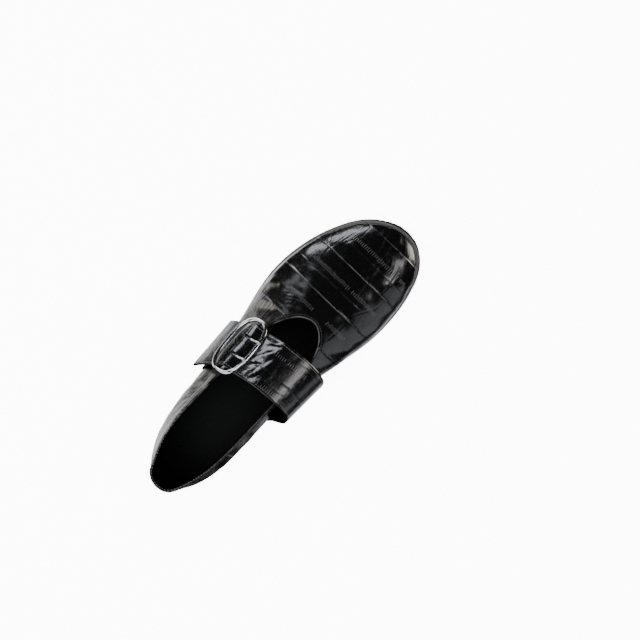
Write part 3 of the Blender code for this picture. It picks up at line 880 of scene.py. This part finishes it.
# %% [markdown]
# The strap is one band of the same skin, laid lengthwise: here the seams and comb marks run along
# it. It bends in a plane of its own, so a place on it is given by how far it is across the shoe and
# how far along the band's width. Where the buckle pulls, the skin is crumpled into small tilted faces
# that mirror one lamp, with creases between them.
# %% Strap: where the wrinkles lie
STRAP_CREST = np.array((1.19, -5.10, 66.0))
STRAP_YAW = math.radians(6.0)
STRAP_PITCH = math.radians(28.0)
STRAP_SLANT = math.tan(math.radians(3.2))
TAIL_START = 25.4
TAIL_SLANT = 0.2
FLARE_START = 32.0
FLARE = 0.0115
STRAP_HUB = -35.0
LEVEL_WAY = np.array((math.cos(STRAP_YAW), math.sin(STRAP_YAW), 0.0))
ACROSS = np.array((-math.sin(STRAP_YAW), math.cos(STRAP_YAW), 0.0))
FORWARD = LEVEL_WAY * math.cos(STRAP_PITCH) - np.array((0.0, 0.0, math.sin(STRAP_PITCH)))
RISE = LEVEL_WAY * math.sin(STRAP_PITCH) + np.array((0.0, 0.0, math.cos(STRAP_PITCH)))
# place on the width, height of the ridge
STRAP_SEAMS = ((-11.5, 0.06), (-4.9, 0.14), (13.8, 0.06))
# Crumpled faces that look outwards: tilt, half width, route of (across the shoe, along the width)
STRAP_FACES = (
    (0.22, 2.2, ((16.0, 15.2), (9.4, 15.4), (3.7, 16.6))),
    (0.30, 2.3, ((10.6, -15.6), (8.0, -10.3), (6.0, -5.0))),
    (0.32, 2.4, ((11.4, 2.9), (7.1, 7.8), (2.6, 12.8))),
    (0.26, 2.0, ((14.4, -3.8), (11.0, 1.9))),
    (0.32, 2.2, ((3.6, -17.9), (0.6, -13.2), (-1.4, -7.4))),
    (0.24, 1.8, ((4.2, -4.6), (2.4, 1.4), (0.6, 6.0))),
)
# Creases: depth, width, route
STRAP_WRINKLES = (
    (0.30, 0.9, ((12.6, -9.0), (9.8, -5.4), (4.1, -3.6))),
    (0.30, 0.9, ((12.2, 8.6), (8.1, 12.1), (2.2, 14.4))),
    (0.25, 0.9, ((6.5, -17.2), (3.5, -11.8), (1.5, -6.4))),
    (0.20, 0.9, ((1.3, -17.7), (-2.9, -16.0), (-5.3, -14.0))),
    (0.20, 0.9, ((13.1, 2.1), (9.9, 4.6), (6.7, 4.3))),
    (0.12, 1.3, ((-9.0, 12.0), (-10.5, 15.0), (-10.8, 18.0))),
    (0.12, 1.6, ((-24.0, -14.0), (-26.0, -6.0), (-25.0, 2.0))),
)


def strap_places(places):
    """Across the shoe, up from the crest, and along the band's width, for points in millimetres."""
    off = places - STRAP_CREST
    across = off @ ACROSS
    up = off @ RISE
    width = off @ FORWARD + STRAP_SLANT * across + TAIL_SLANT * np.maximum(across - TAIL_START, 0.0)
    return across, up, width / (1 + FLARE * np.maximum(across - FLARE_START, 0.0))


def strap_run(across, up):
    """Distance along the band, measured round the hub under its arch."""
    return -STRAP_HUB * np.arctan2(across, up - STRAP_HUB)


print("wrinkles on the strap:", len(STRAP_FACES) + len(STRAP_WRINKLES))

# %% [markdown]
# The strap's mesh is cut and moved as the upper's was, but its points move away from the hub of its
# arch, so both its faces move together and it keeps its thickness. Its seams stop short of the buckle,
# and only its tail has the streaks of the quarters.
# %% Strap: cut the seams and lay the wrinkles
BAND_CREASE = 0.6
STRAP_SEAM_REACH = 3.0
CUT_END = TAIL_START - 12.0
SEAM_FADES = (TAIL_START - 14.0, TAIL_START - 11.0)
TAIL_STREAKS = (TAIL_START + 4.0, TAIL_START + 12.0)
STRAP_FACING_OUT = (0.2, 0.6)


def strap_near(piece, line):
    """Faces before the buckle that lie near a line along the strap."""
    across, _, width = strap_places(faces_of(piece)[0])
    return (np.abs(width - line) < STRAP_SEAM_REACH) & (across < CUT_END)


def wrinkle_strap(piece):
    places, normals = points_of(piece)
    across, up, width = strap_places(places)
    away = unit(across[:, None] * ACROSS + (up - STRAP_HUB)[:, None] * RISE)
    sewn = soft_step((normals * away).sum(axis=1), *STRAP_FACING_OUT) * (1 - soft_step(across, *SEAM_FADES))
    lift = ridges(width, STRAP_SEAMS, SEAM_HALF) * sewn
    flat = np.column_stack((across, width))
    for tilt, size, route in STRAP_FACES:
        lift -= tilted_face(flat, route, tilt, size)
    for depth, size, route in STRAP_WRINKLES:
        lift -= trough(flat, route, depth, size)
    move_points(piece, places + away * lift[:, None])
    # The seams' crests are painted light as on the upper: partly rubbed wear, partly painted highlight
    store(piece, strip=width, girth=strap_run(across, up), vamp=1.0,
          worn=ridges(width, STRAP_SEAMS, SEAM_HIGHLIGHT_HALF) * sewn / SEAM_TALLEST,
          streaks=soft_step(across, *TAIL_STREAKS))


strap = copy_of("strap", "strap_leather")
smooth_by_subdivision(strap, BAND_CREASE)
cut_seams(strap, STRAP_SEAMS, FORWARD + STRAP_SLANT * ACROSS, STRAP_CREST, strap_near)
wrinkle_strap(strap)
dress(strap, glazed_leather("strap_skin"), "strap", "strap")
light_only("strap_box", strap)

# %% [markdown]
# The tab that holds the buckle is a short loop of the same leather under the strap's tail. Its solid
# already has the right form, so a rounded copy of it is enough.
# %% Tab under the buckle
tab = copy_of("buckle_tab", "tab_leather")
smooth_by_subdivision(tab, BAND_CREASE)
tab_across, tab_up, tab_width = strap_places(points_of(tab)[0])
store(tab, strip=tab_width, girth=strap_run(tab_across, tab_up), vamp=1.0, worn=0.0, streaks=0.0)
dress(tab, glazed_leather("tab_skin"), "buckle_tab", "buckle_tab")

# %% [markdown]
# The buckle is an oval of polished wire with a bar across its middle. A torus and a cylinder are the
# start: each point is carried from the plain ring to the oval, and from there to the buckle's own
# plane on the strap. A fine wire needs many short faces, because polished metal shows every flat.
# %% Buckle and prongs
BUCKLE_PLACE = (25.4, -6.3)
BUCKLE_SLIDE = -0.3
BUCKLE_TILT = math.radians(33.0)
FRAME_HALVES = np.array((22.6, 11.4))
FRAME_WIRE = 1.5
FRAME_SQUARENESS = 2.7
BAR_DROP = 1.6
BAR_RADIUS = 1.0
RING_RADIUS = 20.0
PRONG_SWELL = 0.25
RUB_SIZES = (2.5, 0.4, 0.4)
SILVER_SHADES = ((0.70, 0.70, 0.71), (0.86, 0.86, 0.87))


def in_buckle(out, up, width):
    """From the buckle's plane to the shoe: out along the strap, up from the frame, along its length."""
    across = BUCKLE_PLACE[0] + out * math.cos(BUCKLE_TILT) + up * math.sin(BUCKLE_TILT)
    rise = BUCKLE_PLACE[1] - out * math.sin(BUCKLE_TILT) + up * math.cos(BUCKLE_TILT)
    width = width + BUCKLE_SLIDE - STRAP_SLANT * BUCKLE_PLACE[0]
    return STRAP_CREST + across[:, None] * ACROSS + rise[:, None] * RISE + width[:, None] * FORWARD


def signed_power(values, power):
    return np.sign(values) * np.abs(values) ** power


def add_frame():
    bpy.ops.object.select_all(action="DESELECT")
    bpy.ops.mesh.primitive_torus_add(major_segments=160, minor_segments=20, major_radius=RING_RADIUS * MM,
                                     minor_radius=FRAME_WIRE * MM)
    ring = bpy.context.object
    places, _ = points_of(ring)
    angle = np.arctan2(places[:, 1], places[:, 0])
    middle = signed_power(np.column_stack((np.cos(angle), np.sin(angle))), 2 / FRAME_SQUARENESS)
    outward = unit(signed_power(middle, FRAME_SQUARENESS - 1) / FRAME_HALVES)
    off = np.hypot(places[:, 0], places[:, 1]) - RING_RADIUS
    flat = FRAME_HALVES * middle + outward * off[:, None]
    move_points(ring, in_buckle(flat[:, 1], places[:, 2], flat[:, 0]))
    return ring


def add_bar():
    bpy.ops.object.select_all(action="DESELECT")
    bpy.ops.mesh.primitive_cylinder_add(vertices=24, radius=BAR_RADIUS * MM, depth=2 * FRAME_HALVES[0] * MM)
    bar = bpy.context.object
    places, _ = points_of(bar)
    move_points(bar, in_buckle(places[:, 0], places[:, 1] - BAR_DROP, places[:, 2]))
    return bar


def polished_silver(name, *roughness):
    """Bright wire with hair-fine rubbing marks."""
    return spotted(name, SILVER_SHADES, roughness, RUB_SIZES, 0.004, ((0.80, 0.80, 0.81), 0.1), 1.0, 4.0)


def add_prong(node, finish):
    prong = copy_of(node, node + "_wire")
    smooth_by_subdivision(prong)
    edit(prong, "SELECT")
    bpy.ops.transform.shrink_fatten(value=PRONG_SWELL * MM)
    done()
    dress(prong, finish, "prongs", node)
    return prong


silver = polished_silver("polished_silver", 0.09, 0.20)
soft_silver = polished_silver("rubbed_silver", 0.25, 0.40)
buckle_bar = add_bar()
buckle_ring = add_frame()
buckle_ring.name = "buckle_frame"
pick(buckle_ring)
buckle_bar.select_set(True)
bpy.ops.object.join()
edit(buckle_ring, "SELECT")
bpy.ops.mesh.normals_make_consistent(inside=False)
done()
dress(buckle_ring, silver, "buckle", "buckle")
prongs = [add_prong(node, soft_silver) for node in ("prong_front", "prong_back")]
light_only("buckle_box", buckle_ring, *prongs)

# %% [markdown]
# Inside the shoe lies a thin bare insole of dull black leather. Its solid is one flat sheet; cutting
# it finely lets the heel and the ball of the foot press soft hollows into it.
# %% Insole
INSOLE_HOLLOWS = (
    # middle along and across the shoe, half length, half width, depth
    (-92.0, -6.0, 26.0, 20.0, 0.7),
    (52.0, -3.0, 34.0, 26.0, 0.5),
)
INSOLE_SPREAD = 0.5
INSOLE_FACING_UP = (0.3, 0.7)


def press_insole(piece):
    edit(piece, "SELECT")
    bpy.ops.mesh.subdivide(number_cuts=4)
    done()
    places, normals = points_of(piece)
    places[:, :2] += INSOLE_SPREAD * normals[:, :2]
    for x, y, half_length, half_width, depth in INSOLE_HOLLOWS:
        off = ((places[:, 0] - x) / half_length) ** 2 + ((places[:, 1] - y) / half_width) ** 2
        places[:, 2] -= depth * np.exp(-off ** 1.5) * soft_step(normals[:, 2], *INSOLE_FACING_UP)
    move_points(piece, places)


insole = copy_of("insole", "insole_leather")
press_insole(insole)
dress(insole, dull_leather("insole_finish"), "insole", "insole")

# %% [markdown]
# The sole is thin, with a fine groove run round its edge, and the heel is a low block with a top
# piece under it. Both grooves are made by inset or by cutting planes, and then sunk into the side.
# %% Sole and heel
GROOVE_DEPTH = 0.3
GROOVE_INSET = 0.55
GROOVE_SLOPE = 0.2
EDGE_ROUND = 0.3
SIDE_FACING = 0.35
TOP_PIECE = 3.4
TOP_PIECE_CUTS = (-0.3, -0.1, 0.1, 0.3)
TOP_PIECE_GROOVE = 0.2
SOLE_BLACK = (0.010, 0.010, 0.010)
# Painted highlight: the lighter shade for the sole's upward-facing edge
SOLE_PAINTED_HIGHLIGHT = (0.07, 0.07, 0.068)
HIGHLIGHT_FACING_UP = (0.3, 0.8)
HIGHLIGHT_FROM = (-30.0, 0.0)


def dull_sole(name):
    """Dyed and waxed sole edge: almost black, with faint streaks that run along it; where its edge faces
    up, forward of the heel, it is painted lighter as a painted highlight.
    """
    made, shader = plain_material(name, SOLE_BLACK, 0.4)
    tree = made.node_tree
    streak = spots(tree, (12.0, 12.0, 0.5))
    grain = spots(tree, (0.8, 0.8, 0.8))
    # Painted highlight along the streaks, by the stored mask
    worn = calc(tree, "MULTIPLY", read(tree, "worn"), calc(tree, "MULTIPLY_ADD", streak, 0.6, 0.5))
    shade_between(tree, shader.inputs["Base Color"], worn, SOLE_BLACK, SOLE_PAINTED_HIGHLIGHT)
    shade_between(tree, shader.inputs["Roughness"], grain, 0.28, 0.52)
    add_bump(tree, shader, calc(tree, "MULTIPLY_ADD", grain, 0.03, calc(tree, "MULTIPLY", streak, 0.03)))
    return made


def groove_sole(piece):
    _, normals = faces_of(piece)
    select_faces(piece, np.abs(normals[:, 2]) < SIDE_FACING)
    for thickness, depth in ((GROOVE_INSET, 0.0), (GROOVE_SLOPE, -GROOVE_DEPTH)):
        bpy.ops.mesh.inset(thickness=thickness * MM, depth=depth * MM, use_boundary=True,
                           use_even_offset=True)
    done()
    rounding = piece.modifiers.new("rounding", "BEVEL")
    rounding.width = EDGE_ROUND * MM
    rounding.segments = 3
    rounding.limit_method = "ANGLE"
    rounding.angle_limit = math.radians(40)
    bpy.ops.object.modifier_apply(modifier=rounding.name)


def groove_heel(piece):
    for step in TOP_PIECE_CUTS:
        edit(piece, "SELECT")
        bpy.ops.mesh.bisect(plane_co=(0.0, 0.0, (TOP_PIECE + step) * MM), plane_no=(0.0, 0.0, 1.0))
        done()
    places, normals = points_of(piece)
    sunk = np.abs(places[:, 2] - TOP_PIECE) < TOP_PIECE_GROOVE
    normals[:, 2] = 0.0
    move_points(piece, places - normals * (GROOVE_DEPTH * sunk)[:, None])


sole_finish = dull_sole("sole_finish")
sole = copy_of("outsole", "sole_edge")
groove_sole(sole)
sole_places, sole_normals = points_of(sole)
# Mask of painted highlight: faces that look up, forward of the heel
store(sole, worn=soft_step(sole_normals[:, 2], *HIGHLIGHT_FACING_UP) * soft_step(sole_places[:, 0], *HIGHLIGHT_FROM))
dress(sole, sole_finish, "outsole", "outsole")
heel = copy_of("heel", "heel_block")
groove_heel(heel)
store(heel, worn=0.0)
dress(heel, sole_finish, "heel", "heel")
for piece in (sole, heel, insole):
    pick(piece)
    bpy.ops.object.shade_smooth_by_angle(angle=math.radians(35))

# %% [markdown]
# The collar and the strap are sewn with lockstitch. One stitch is a small ball drawn out to a grain
# of rice. The rest are copies of it, turned with the leather they lie on, and joined into one piece
# for each row of sewing. Three waxed threads are used, from black to light grey; the light grey one
# is painted light as a painted highlight, in place of the glints of its stitches.
# %% One stitch, and how a row is laid
STITCH_LENGTH = 1.6
STITCH_WIDTH = 0.46
STITCH_PITCH = 2.1
LOOK_AHEAD = 0.2
THREAD_ROUGHNESS = (0.30, 0.55)
LINT_SIZES = (0.25, 0.25, 0.25)


def one_grain(width, height, length):
    """A small ball drawn out to a grain that lies along Z."""
    bpy.ops.object.select_all(action="DESELECT")
    bpy.ops.mesh.primitive_uv_sphere_add(segments=8, ring_count=6, radius=0.5 * MM)
    grain = bpy.context.object
    bpy.ops.object.mode_set(mode="EDIT")
    bpy.ops.mesh.select_all(action="SELECT")
    bpy.ops.transform.resize(value=(width, height, length))
    done()
    return grain


def even_places(line, pitch, closed):
    """Places and ways at even steps along a line of points."""
    line = np.vstack((line, line[:1])) if closed else np.asarray(line)
    runs = np.append(0.0, np.cumsum(np.linalg.norm(np.diff(line, axis=0), axis=1)))

    def at(run):
        return np.column_stack([np.interp(run, runs, line[:, i]) for i in range(3)])

    count = int(runs[-1] / pitch)
    steps = (np.arange(count) + 0.5) * runs[-1] / count
    return at(steps), unit(at(np.minimum(steps + LOOK_AHEAD, runs[-1])) - at(steps))


def lay(name, model, laid, leather, finish, slot):
    """Lays copies of a model on the nearest leather, each along its way, and joins them."""
    skin = BVHTree.FromObject(leather, bpy.context.evaluated_depsgraph_get())
    copies = []
    for place, way, size in laid:
        spot, normal, _, _ = skin.find_nearest(Vector(place * MM))
        side = normal.cross(Vector(way)).normalized()
        turn = Matrix((side, normal, side.cross(normal))).transposed().to_4x4()
        copy = bpy.data.objects.new(name, model.data.copy())
        bpy.context.scene.collection.objects.link(copy)
        copy.matrix_world = Matrix.Translation(spot) @ turn @ Matrix.Scale(size, 4, (0.0, 0.0, 1.0))
        copies.append(copy)
    bpy.data.objects.remove(model)
    row = copies[0]
    pick(row)
    for copy in copies:
        copy.select_set(True)
    bpy.ops.object.join()
    bpy.ops.object.transform_apply(location=True, rotation=True, scale=True)
    row.name = name
    dress(row, finish, slot)


def sew(name, lines, leather, thread, slot):
    laid = []
    for line, closed in lines:
        laid += [(place, way, 1.0) for place, way in zip(*even_places(line, STITCH_PITCH, closed))]
    lay(name, one_grain(STITCH_WIDTH, STITCH_WIDTH, STITCH_LENGTH), laid, leather, thread, slot)


def waxed_thread(name, darkest, lightest):
    """Waxed thread with a twist along it."""
    dark, light = (darkest,) * 3, (lightest,) * 3
    return spotted(name, (dark, light), THREAD_ROUGHNESS, LINT_SIZES, 0.02, (dark, 0.4))


BLACK_THREAD = waxed_thread("black_thread", 0.008, 0.04)
GREY_THREAD = waxed_thread("grey_thread", 0.03, 0.11)
# Painted highlight: thread painted light grey in place of the stitches' glints
PAINTED_GLINT_THREAD = waxed_thread("painted_glint_thread", 0.10, 0.30)
print("stitch length in mm:", STITCH_LENGTH)

# %% [markdown]
# The collar's row lies nearly three millimetres down the wall from the edge that was found for the
# roll. A second row shows on the lining round the heel, a step inwards from the first. The strap's
# rows come from rays shot at the hub of its arch: each ray slides along the hub until it meets the
# strap at the wanted place on its width.
# %% Sewing on the collar and the strap
RAY_START = 80.0
RAY_TRIES = 4
STRAP_STEPS = 120
STRAP_ROW_ENDS = (-66.0, 54.0)
STRAP_EDGE_ROW = 16.9
INSIDE_MIDDLE = (-95.0, 10.0)
INSIDE_AXIS = -5.0
INSIDE_STEP = 2.6
INSIDE_ROW_END = -5.0


def skin_line(piece, hub, axes, angles, measure, wanted):
    """Points on a piece's outside that all measure the same, met by rays shot at a hub line."""
    skin = BVHTree.FromObject(piece, bpy.context.evaluated_depsgraph_get())
    along, sideways, upright = axes
    line = []
    for angle in angles:
        away = sideways * math.sin(angle) + upright * math.cos(angle)
        slide = wanted
        for _ in range(RAY_TRIES):
            start = hub + along * slide + away * RAY_START
            spot, _, _, _ = skin.ray_cast(Vector(start * MM), Vector(-away))
            if spot is None:
                break
            spot = np.array(spot) / MM
            slide += wanted - float(measure(spot))
        if spot is not None:
            line.append(spot)
    return np.array(line)


def place_on_width(spot):
    return strap_places(spot[None, :])[2][0]


def strap_line(width, first, last):
    """Points on the strap's outer face at one place on its width, from one run to another."""
    angles = np.linspace(first, last, STRAP_STEPS) / -STRAP_HUB
    hub = STRAP_CREST + RISE * STRAP_HUB
    return skin_line(strap, hub, (FORWARD, ACROSS, RISE), angles, place_on_width, width)


collar_row = COLLAR_EDGE + COLLAR_DOWN * COLLAR_ROW
sew("collar_stitches", ((collar_row, True),), upper, BLACK_THREAD, "upper")
middle_line = np.full((len(collar_row), 2), INSIDE_AXIS)
middle_line[:, 0] = np.clip(collar_row[:, 0], *INSIDE_MIDDLE)
lining_row = collar_row.copy()
lining_row[:, :2] += INSIDE_STEP * unit(middle_line - collar_row[:, :2])
lining_row = np.roll(lining_row, -int(np.argmax(lining_row[:, 0])), axis=0)
lining_row = lining_row[lining_row[:, 0] < INSIDE_ROW_END]
# This row's thread is painted light grey: painted glints
sew("lining_stitches", ((lining_row, False),), upper, PAINTED_GLINT_THREAD, "upper")
back_row = strap_line(-STRAP_EDGE_ROW, *STRAP_ROW_ENDS)
front_row = strap_line(STRAP_EDGE_ROW, *STRAP_ROW_ENDS)
end_row = np.vstack((back_row[-1], front_row[-1]))
sew("strap_stitches", [(row, False) for row in (back_row, front_row, end_row)], strap, GREY_THREAD, "strap")

# %% [markdown]
# Down the middle of each strip of skin runs a ladder of short comb marks. They are low ridges that
# lie across the ladder, each a little different. Copies of one drawn-out grain make them, as with the
# stitches, and a seeded draw varies their length and leaves some out.
# %% Comb marks
# place along the strips, first and last angle round the shoe
UPPER_COMBS = ((36.3, -0.75, 0.95), (64.4, -0.95, 1.1), (94.1, -1.1, 1.05))
# place on the strap's width, first and last run
STRAP_COMBS = ((8.9, -24.0, 6.0), (-15.2, -26.0, 4.0))
UPPER_STEPS = 80
COMB_PITCH = 1.7
COMB_SIZE = (0.42, 0.55, 3.6)
COMB_STRETCH = (0.8, 1.15)
COMB_STRAY = 0.3
COMB_TURN = 0.1
COMB_MISSING = 0.02
COMB_SEED = 11
COMB_SHADES = ((0.015, 0.015, 0.015), (0.075, 0.075, 0.078))
COMB_ROUGHNESS = (0.25, 0.50)


def place_on_strips(spot):
    return spot @ STRIP_WAY


def upper_line(strip, first, last):
    """Points on the upper's outside at one place along the strips, from one angle to another."""
    angles = np.linspace(first, last, UPPER_STEPS)
    return skin_line(upper, np.array((0.0, *ROUND_AXIS)), np.eye(3), angles, place_on_strips, strip)


def comb(name, lines, across, leather, finish, slot, draw):
    laid = []
    for line in lines:
        for place, way in zip(*even_places(line, COMB_PITCH, False)):
            size = draw.uniform(*COMB_STRETCH)
            if draw.random() > COMB_MISSING:
                place = place + across * draw.uniform(-COMB_STRAY, COMB_STRAY)
                laid.append((place, across + way * draw.uniform(-COMB_TURN, COMB_TURN), size))
    lay(name, one_grain(*COMB_SIZE), laid, leather, finish, slot)


# Hard glazed ridges with a rubbed top
rubbed_comb = spotted("comb_skin", COMB_SHADES, COMB_ROUGHNESS, (9.0, 9.0, 9.0), 0.02, (BLACK, 0.2))
comb_draw = np.random.default_rng(COMB_SEED)
upper_ladders = [upper_line(*row) for row in UPPER_COMBS]
strip_way = STRIP_WAY / np.linalg.norm(STRIP_WAY)
comb("upper_combs", upper_ladders, strip_way, upper, rubbed_comb, "upper", comb_draw)
strap_ladders = [strap_line(*row) for row in STRAP_COMBS]
comb("strap_combs", strap_ladders, FORWARD, strap, rubbed_comb, "strap", comb_draw)
